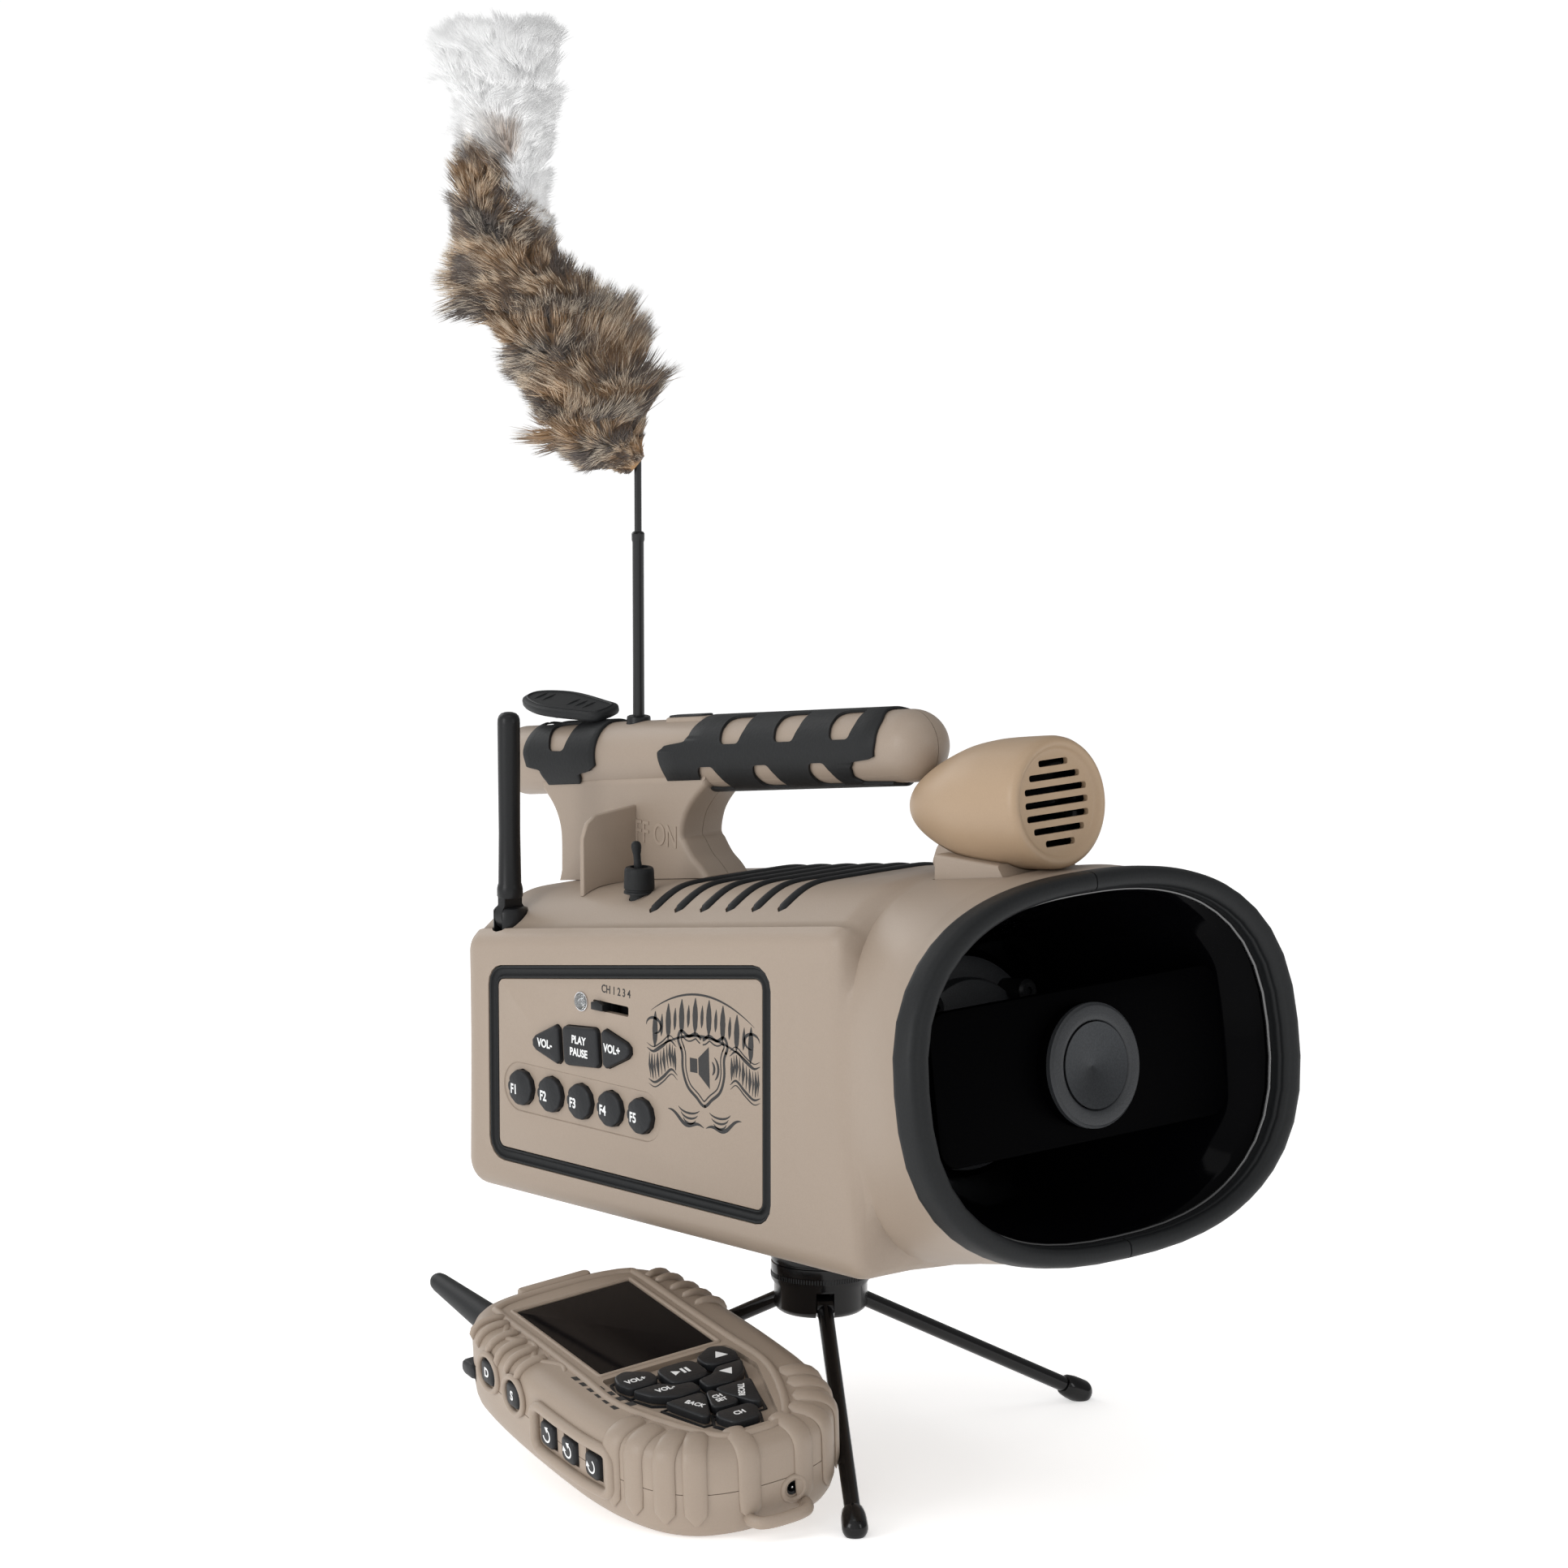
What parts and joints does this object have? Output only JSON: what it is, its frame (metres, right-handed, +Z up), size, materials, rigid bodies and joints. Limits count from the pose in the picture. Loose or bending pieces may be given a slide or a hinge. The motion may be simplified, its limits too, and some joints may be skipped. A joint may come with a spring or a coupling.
{
  "type": "electronic game caller",
  "caption": "Portable game caller: horn loudspeaker case with carrying handle, tweeter, button panel, spinning fur decoy, folding tripod and a rugged hand remote.",
  "frame": {"origin": "centre of the bounding box on the ground, at rest", "axes": "+X is where the horn points, +Z is up, the control panel faces -Y"},
  "size_m": [0.3654, 0.282, 0.5847],
  "materials": {
    "tan_plastic": "fine-textured moulded plastic",
    "tweeter_tan": "matte moulded plastic",
    "black_plastic": "matte moulded plastic",
    "black_rubber": "soft matte rubber",
    "gloss_black": "polished",
    "grey_driver": "fine-grained",
    "clear_lens": "clear",
    "steel_rod": "drawn wire",
    "fur": "mottled long fur with a white tip",
    "screen_glass": "polished"
  },
  "bodies": {
    "tripod_hub": {"tripod_hub": "black_plastic"},
    "caller": {"turntable": "black_plastic", "case_right": "tan_plastic", "case_left": "tan_plastic", "rear_cover": "tan_plastic", "horn_flare": "gloss_black", "horn_bridge": "gloss_black", "horn_disc": "grey_driver", "horn_rim": "black_rubber", "handle_right": "tan_plastic", "handle_left": "tan_plastic", "grip_front": "black_rubber", "grip_rear": "black_rubber", "deck_ribs": "black_plastic", "decoy_socket": "black_plastic", "toggle_bushing": "black_rubber", "panel_frame": "black_rubber", "panel_plate": "black_plastic", "led_lens": "clear_lens", "tweeter_housing": "tweeter_tan", "tweeter_driver": "grey_driver", "tweeter_mount": "tan_plastic"},
    "battery_door": {"battery_door": "tan_plastic"},
    "decoy": {"decoy_rod": "steel_rod", "decoy_tail": "fur"},
    "toggle_lever": {"toggle_lever": "black_plastic"},
    "antenna_base": {"antenna_base": "black_plastic"},
    "antenna_whip": {"antenna_whip": "black_plastic"},
    "plug_cap": {"plug_cap": "black_rubber"},
    "channel_knob": {"channel_knob": "black_plastic"},
    "remote": {"remote_back": "tan_plastic", "remote_front": "tan_plastic", "remote_screen": "screen_glass", "remote_antenna": "black_rubber"},
    "tripod_leg_1": {"tripod_leg_1": "black_plastic"},
    "tripod_leg_2": {"tripod_leg_2": "black_plastic"},
    "tripod_leg_3": {"tripod_leg_3": "black_plastic"},
    "key_vol_minus": {"key_vol_minus": "black_rubber"},
    "key_play_pause": {"key_play_pause": "black_rubber"},
    "key_vol_plus": {"key_vol_plus": "black_rubber"},
    "key_f1": {"key_f1": "black_rubber"},
    "key_f2": {"key_f2": "black_rubber"},
    "key_f3": {"key_f3": "black_rubber"},
    "key_f4": {"key_f4": "black_rubber"},
    "key_f5": {"key_f5": "black_rubber"},
    "remote_key_back": {"remote_key_back": "black_rubber"},
    "remote_key_ch": {"remote_key_ch": "black_rubber"},
    "remote_key_ch_set": {"remote_key_ch_set": "black_rubber"},
    "remote_key_d": {"remote_key_d": "black_rubber"},
    "remote_key_down": {"remote_key_down": "black_rubber"},
    "remote_key_play": {"remote_key_play": "black_rubber"},
    "remote_key_power": {"remote_key_power": "black_rubber"},
    "remote_key_recall": {"remote_key_recall": "black_rubber"},
    "remote_key_s": {"remote_key_s": "black_rubber"},
    "remote_key_turn_auto": {"remote_key_turn_auto": "black_rubber"},
    "remote_key_turn_left": {"remote_key_turn_left": "black_rubber"},
    "remote_key_turn_right": {"remote_key_turn_right": "black_rubber"},
    "remote_key_up": {"remote_key_up": "black_rubber"},
    "remote_key_vol_down": {"remote_key_vol_down": "black_rubber"},
    "remote_key_vol_up": {"remote_key_vol_up": "black_rubber"}
  },
  "joints": [
    {"name": "caller_yaw", "type": "hinge", "parent": "tripod_hub", "child": "caller", "pos_m": [0.00566, 0.00545, 0.083], "axis": [0, 0, 1], "continuous": true},
    {"name": "leg_1_fold", "type": "hinge", "parent": "tripod_hub", "child": "tripod_leg_1", "pos_m": [0.01804, -0.00388, 0.0625], "axis": [0.6018, 0.7986, 0], "range_deg": [0, 60]},
    {"name": "leg_2_fold", "type": "hinge", "parent": "tripod_hub", "child": "tripod_leg_2", "pos_m": [0.00808, 0.02076, 0.0625], "axis": [-0.9877, 0.1564, 0], "range_deg": [0, 60]},
    {"name": "leg_3_fold", "type": "hinge", "parent": "tripod_hub", "child": "tripod_leg_3", "pos_m": [-0.00861, -0.0006, 0.0625], "axis": [0.3907, -0.9205, 0], "range_deg": [0, 60]},
    {"name": "battery_door_hinge", "type": "hinge", "parent": "caller", "child": "battery_door", "pos_m": [-0.14594, 0.00545, 0.117], "axis": [0, -1, 0], "range_deg": [0, 100]},
    {"name": "decoy_spin", "type": "hinge", "parent": "caller", "child": "decoy", "pos_m": [-0.10604, 0.00545, 0.2883], "axis": [0, 0, 1], "continuous": true},
    {"name": "toggle_throw", "type": "hinge", "parent": "caller", "child": "toggle_lever", "pos_m": [-0.06034, -0.03455, 0.23081], "axis": [0, 1, 0], "range_deg": [0, 13.6]},
    {"name": "antenna_swivel", "type": "hinge", "parent": "caller", "child": "antenna_base", "pos_m": [-0.12584, -0.04855, 0.2], "axis": [0, 0, 1], "range_deg": [-90, 0]},
    {"name": "antenna_fold", "type": "hinge", "parent": "antenna_base", "child": "antenna_whip", "pos_m": [-0.12584, -0.04855, 0.2105], "axis": [1, 0, 0], "range_deg": [0, 80]},
    {"name": "plug_cap_hinge", "type": "hinge", "parent": "caller", "child": "plug_cap", "pos_m": [-0.12534, 0.00545, 0.28936], "axis": [0, 1, 0], "range_deg": [-4, 100]},
    {"name": "channel_slide", "type": "slide", "parent": "caller", "child": "channel_knob", "axis": [1, 0, 0], "range_m": [0, 0.012]},
    {"name": "key_vol_minus_press", "type": "slide", "parent": "caller", "child": "key_vol_minus", "axis": [0, 1, 0], "range_m": [0, 0.001], "stiffness_N_per_m": 400},
    {"name": "key_play_pause_press", "type": "slide", "parent": "caller", "child": "key_play_pause", "axis": [0, 1, 0], "range_m": [0, 0.001], "stiffness_N_per_m": 400},
    {"name": "key_vol_plus_press", "type": "slide", "parent": "caller", "child": "key_vol_plus", "axis": [0, 1, 0], "range_m": [0, 0.001], "stiffness_N_per_m": 400},
    {"name": "key_f1_press", "type": "slide", "parent": "caller", "child": "key_f1", "axis": [0, 1, 0], "range_m": [0, 0.001], "stiffness_N_per_m": 400},
    {"name": "key_f2_press", "type": "slide", "parent": "caller", "child": "key_f2", "axis": [0, 1, 0], "range_m": [0, 0.001], "stiffness_N_per_m": 400},
    {"name": "key_f3_press", "type": "slide", "parent": "caller", "child": "key_f3", "axis": [0, 1, 0], "range_m": [0, 0.001], "stiffness_N_per_m": 400},
    {"name": "key_f4_press", "type": "slide", "parent": "caller", "child": "key_f4", "axis": [0, 1, 0], "range_m": [0, 0.001], "stiffness_N_per_m": 400},
    {"name": "key_f5_press", "type": "slide", "parent": "caller", "child": "key_f5", "axis": [0, 1, 0], "range_m": [0, 0.001], "stiffness_N_per_m": 400},
    {"name": "remote_slide", "type": "slide", "parent": "tripod_hub", "child": "remote", "axis": [0, -1, 0], "range_m": [0, 0.15]},
    {"name": "remote_key_back_press", "type": "slide", "parent": "remote", "child": "remote_key_back", "axis": [-0.1246, 0.1567, -0.9798], "range_m": [0, 0.0007], "stiffness_N_per_m": 400},
    {"name": "remote_key_ch_press", "type": "slide", "parent": "remote", "child": "remote_key_ch", "axis": [-0.1246, 0.1567, -0.9798], "range_m": [0, 0.0007], "stiffness_N_per_m": 400},
    {"name": "remote_key_ch_set_press", "type": "slide", "parent": "remote", "child": "remote_key_ch_set", "axis": [-0.1246, 0.1567, -0.9798], "range_m": [0, 0.0007], "stiffness_N_per_m": 400},
    {"name": "remote_key_d_press", "type": "slide", "parent": "remote", "child": "remote_key_d", "axis": [0.2078, 0.9697, 0.1286], "range_m": [0, 0.001], "stiffness_N_per_m": 400},
    {"name": "remote_key_down_press", "type": "slide", "parent": "remote", "child": "remote_key_down", "axis": [-0.1246, 0.1567, -0.9798], "range_m": [0, 0.0007], "stiffness_N_per_m": 400},
    {"name": "remote_key_play_press", "type": "slide", "parent": "remote", "child": "remote_key_play", "axis": [-0.1246, 0.1567, -0.9798], "range_m": [0, 0.0007], "stiffness_N_per_m": 400},
    {"name": "remote_key_power_press", "type": "slide", "parent": "remote", "child": "remote_key_power", "axis": [0.2078, 0.9697, 0.1286], "range_m": [0, 0.001], "stiffness_N_per_m": 400},
    {"name": "remote_key_recall_press", "type": "slide", "parent": "remote", "child": "remote_key_recall", "axis": [-0.1246, 0.1567, -0.9798], "range_m": [0, 0.0007], "stiffness_N_per_m": 400},
    {"name": "remote_key_s_press", "type": "slide", "parent": "remote", "child": "remote_key_s", "axis": [0.2078, 0.9697, 0.1286], "range_m": [0, 0.001], "stiffness_N_per_m": 400},
    {"name": "remote_key_turn_auto_press", "type": "slide", "parent": "remote", "child": "remote_key_turn_auto", "axis": [0.2078, 0.9697, 0.1286], "range_m": [0, 0.001], "stiffness_N_per_m": 400},
    {"name": "remote_key_turn_left_press", "type": "slide", "parent": "remote", "child": "remote_key_turn_left", "axis": [0.2078, 0.9697, 0.1286], "range_m": [0, 0.001], "stiffness_N_per_m": 400},
    {"name": "remote_key_turn_right_press", "type": "slide", "parent": "remote", "child": "remote_key_turn_right", "axis": [0.2078, 0.9697, 0.1286], "range_m": [0, 0.001], "stiffness_N_per_m": 400},
    {"name": "remote_key_up_press", "type": "slide", "parent": "remote", "child": "remote_key_up", "axis": [-0.1246, 0.1567, -0.9798], "range_m": [0, 0.0007], "stiffness_N_per_m": 400},
    {"name": "remote_key_vol_down_press", "type": "slide", "parent": "remote", "child": "remote_key_vol_down", "axis": [-0.1246, 0.1567, -0.9798], "range_m": [0, 0.0007], "stiffness_N_per_m": 400},
    {"name": "remote_key_vol_up_press", "type": "slide", "parent": "remote", "child": "remote_key_vol_up", "axis": [-0.1246, 0.1567, -0.9798], "range_m": [0, 0.0007], "stiffness_N_per_m": 400}
  ]
}
